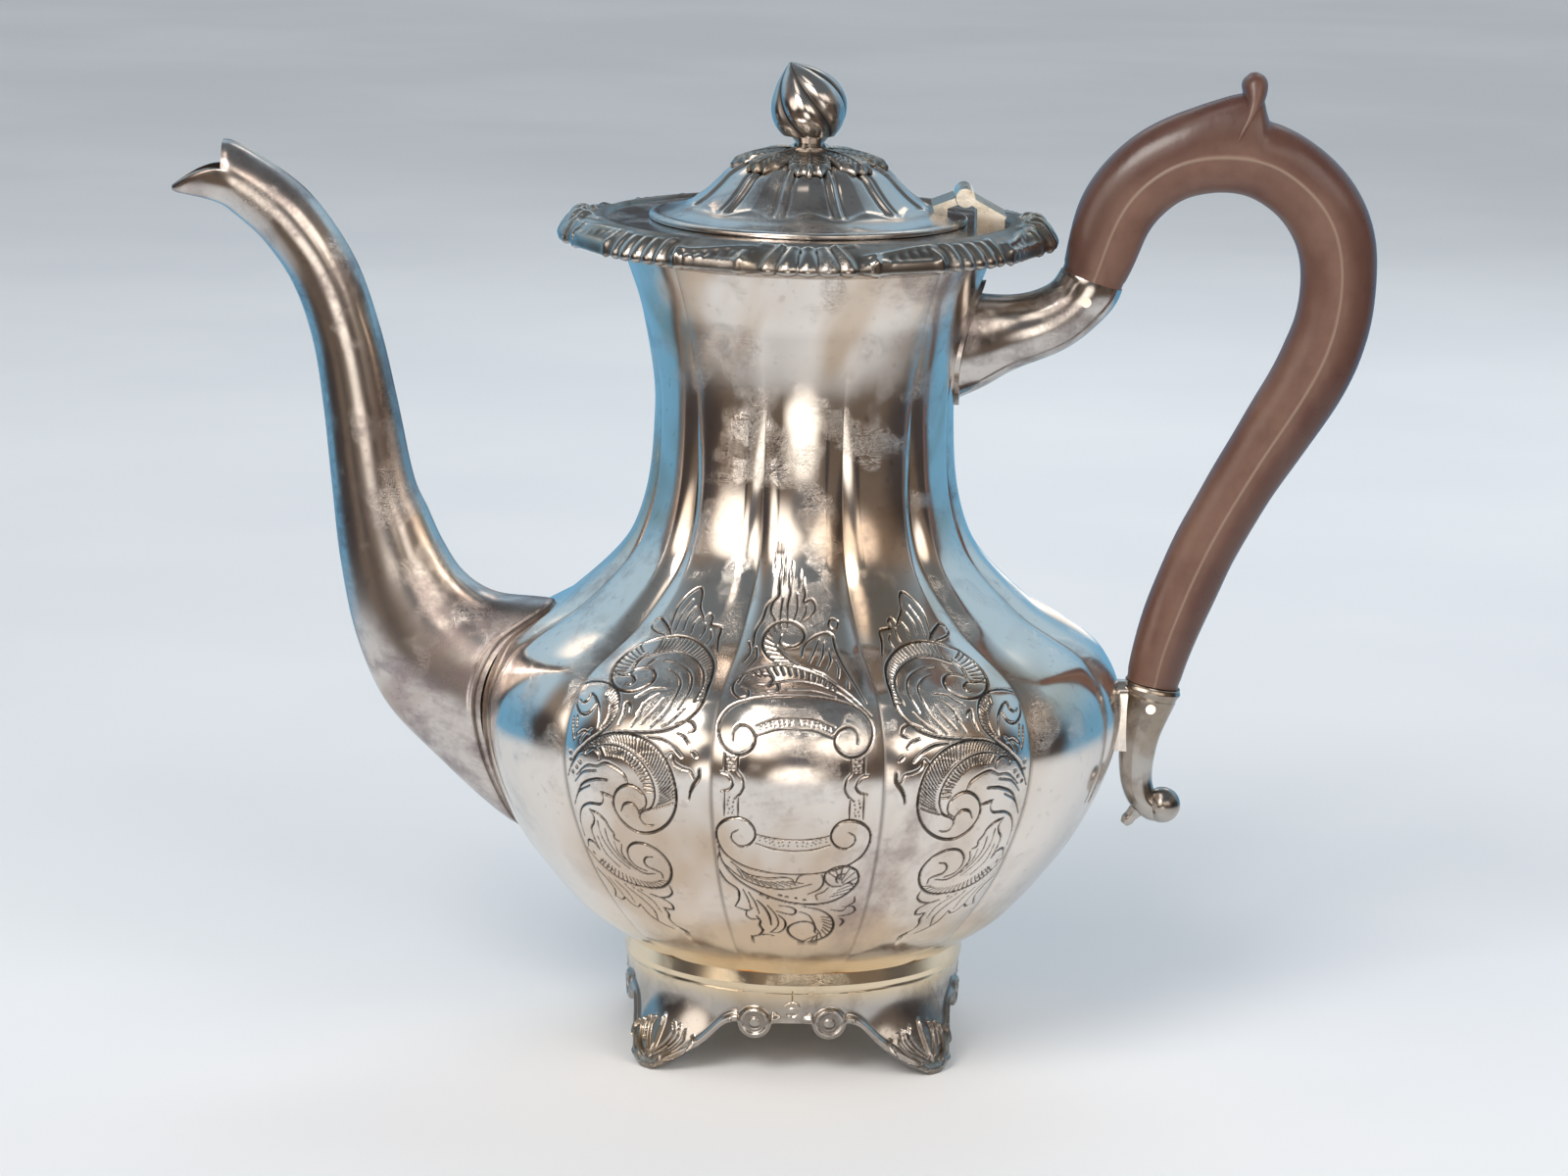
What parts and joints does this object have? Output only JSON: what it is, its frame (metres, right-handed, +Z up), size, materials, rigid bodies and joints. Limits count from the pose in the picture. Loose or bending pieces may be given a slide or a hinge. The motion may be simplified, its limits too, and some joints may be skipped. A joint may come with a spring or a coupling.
{
  "type": "coffee pot",
  "caption": "Lobed silver-plated coffee pot with swan-neck spout, hinged domed lid with bud finial, brown composition scroll handle and leaf-cast feet.",
  "frame": {"origin": "on the body's axis, at the height of the surface that the pot stands on", "axes": "+Z up, +X towards the handle, -X towards the spout, -Y towards the side with the lid hinge at the right"},
  "size_m": [0.3068, 0.1672, 0.2535],
  "materials": {
    "silver_plate": "tarnished polished silver plate with engraved and cast ornament",
    "hinge_metal": "worn hinge with the plate rubbed through",
    "inner_hardware": "plain brass",
    "composition": "brown composition with a dull polish and a thin pale mould line"
  },
  "bodies": {
    "pot": {"body_lower_shell": "silver_plate", "body_upper_shell": "silver_plate", "spout_strainer": "silver_plate", "base_disc": "silver_plate", "foot_collar": "silver_plate", "foot_front_left": "silver_plate", "foot_front_right": "silver_plate", "foot_back_left": "silver_plate", "foot_back_right": "silver_plate", "rim_flange": "silver_plate", "rim_border": "silver_plate", "spout_front_half": "silver_plate", "spout_back_half": "silver_plate", "upper_socket_patch": "silver_plate", "upper_handle_socket": "silver_plate", "handle_grip": "composition", "lower_handle_socket": "silver_plate", "lower_socket_strap": "silver_plate", "upper_handle_pin": "silver_plate", "lower_handle_pin": "silver_plate", "rim_hinge_leaf": "hinge_metal", "hinge_pin": "hinge_metal"},
    "lid": {"lid_dome": "silver_plate", "lid_bezel": "silver_plate", "lid_hinge_leaf": "hinge_metal", "finial_leaves": "silver_plate", "finial_stem": "silver_plate", "finial_bud": "silver_plate", "finial_stud": "inner_hardware", "finial_washer": "inner_hardware", "finial_nut": "inner_hardware"}
  },
  "joints": [
    {"name": "lid_hinge", "type": "hinge", "parent": "pot", "child": "lid", "pos_m": [0.0395, 0, 0.221], "axis": [0, 1, 0], "range_deg": [0, 100]}
  ]
}
